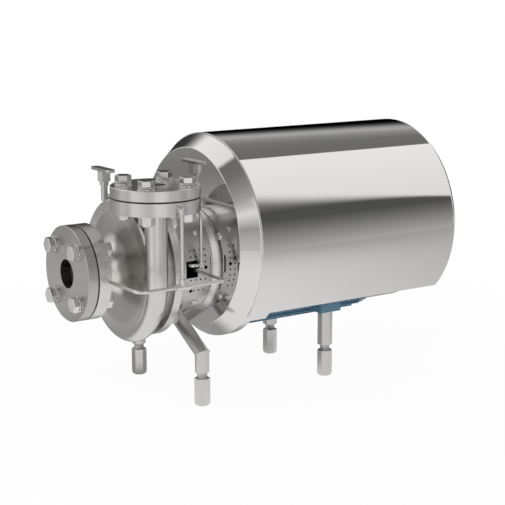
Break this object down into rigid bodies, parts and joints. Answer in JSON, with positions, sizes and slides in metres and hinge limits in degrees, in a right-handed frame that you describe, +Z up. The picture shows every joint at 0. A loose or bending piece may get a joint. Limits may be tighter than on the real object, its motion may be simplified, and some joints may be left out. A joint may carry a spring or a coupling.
{
  "type": "sanitary centrifugal pump",
  "caption": "Close-coupled sanitary centrifugal pump: volute casing with flanged end suction and top discharge, perforated lantern, polished motor hood and levelling feet.",
  "frame": {"origin": "centre of the outer face of the suction counter flange, on the shaft axis", "axes": "+Y along the shaft from the suction port to the motor, +Z up towards the discharge flange, +X to the side of the discharge neck"},
  "size_m": [0.3845, 0.7333, 0.4606],
  "materials": {
    "cast_stainless": "satin ground stainless casting",
    "bolt_steel": "bright stainless fasteners",
    "mirror_steel": "mirror-polished stainless sheet",
    "guard_sheet": "ground stainless sheet",
    "gasket_rubber": "black sealing sheet",
    "motor_paint": "blue-grey satin paint",
    "cowl_paint": "grey satin paint",
    "fan_plastic": "black moulded plastic",
    "core_steel": "laminated and machined steel",
    "winding": "varnished copper wire",
    "shaft_steel": "ground steel",
    "seal_carbon": "dark seal ring",
    "leg_steel": "ground stainless bar",
    "tube_steel": "bright stainless tube"
  },
  "bodies": {
    "frame": {"casing": "cast_stainless", "casing_cover": "cast_stainless", "lantern": "cast_stainless", "suction_counter_flange": "cast_stainless", "discharge_counter_flange": "cast_stainless", "seal_cover": "cast_stainless", "flange_bolts": "bolt_steel", "lock_washers": "bolt_steel", "flange_washers": "bolt_steel", "flange_nuts": "bolt_steel", "cover_studs": "bolt_steel", "cover_nuts": "bolt_steel", "guard_screws": "bolt_steel", "lantern_bolts": "bolt_steel", "hood_screws": "bolt_steel", "seal_cover_screws": "bolt_steel", "hood_front": "mirror_steel", "hood_shell": "mirror_steel", "guard_near": "guard_sheet", "guard_far": "guard_sheet", "suction_gasket": "gasket_rubber", "discharge_gasket": "gasket_rubber", "casing_o_ring": "gasket_rubber", "motor_front_shield": "motor_paint", "motor_housing": "motor_paint", "motor_rear_shield": "motor_paint", "terminal_box": "motor_paint", "terminal_lid": "motor_paint", "fan_cowl": "cowl_paint", "cable_gland": "fan_plastic", "stator_core": "core_steel", "front_bearing": "core_steel", "rear_bearing": "core_steel", "stator_windings": "winding", "seal_fixed_ring": "seal_carbon", "front_leg_near": "leg_steel", "front_leg_far": "leg_steel", "rear_leg_near": "leg_steel", "rear_leg_far": "leg_steel", "suction_flush_tube": "tube_steel", "discharge_flush_tube": "tube_steel", "seal_flush_tube": "tube_steel", "quench_tube": "tube_steel", "quench_inlet_tube": "tube_steel", "tube_fittings": "tube_steel", "valve_body": "tube_steel"},
    "rotating_group": {"pump_shaft": "shaft_steel", "shaft_clamp": "shaft_steel", "impeller": "shaft_steel", "impeller_nut": "shaft_steel", "seal_rotating_ring": "seal_carbon", "seal_spring": "shaft_steel", "rotor": "core_steel", "motor_shaft": "shaft_steel", "cooling_fan": "fan_plastic"},
    "valve_lever": {"valve_handle": "tube_steel"},
    "foot_front_near": {"foot_front_near": "leg_steel"},
    "foot_front_far": {"foot_front_far": "leg_steel"},
    "foot_rear_near": {"foot_rear_near": "leg_steel"},
    "foot_rear_far": {"foot_rear_far": "leg_steel"}
  },
  "joints": [
    {"name": "shaft_spin", "type": "hinge", "parent": "frame", "child": "rotating_group", "pos_m": [0, 0, 0], "axis": [0, 1, 0], "continuous": true},
    {"name": "valve_turn", "type": "hinge", "parent": "frame", "child": "valve_lever", "pos_m": [-0.143, 0.149, 0.147], "axis": [0, 0, 1], "range_deg": [0, 90]},
    {"name": "foot_front_near_screw", "type": "slide", "parent": "frame", "child": "foot_front_near", "axis": [0, 0, 1], "range_m": [-0.02, 0.009]},
    {"name": "foot_front_far_screw", "type": "slide", "parent": "frame", "child": "foot_front_far", "axis": [0, 0, 1], "range_m": [-0.02, 0.009]},
    {"name": "foot_rear_near_screw", "type": "slide", "parent": "frame", "child": "foot_rear_near", "axis": [0, 0, 1], "range_m": [-0.02, 0.009]},
    {"name": "foot_rear_far_screw", "type": "slide", "parent": "frame", "child": "foot_rear_far", "axis": [0, 0, 1], "range_m": [-0.02, 0.009]}
  ]
}
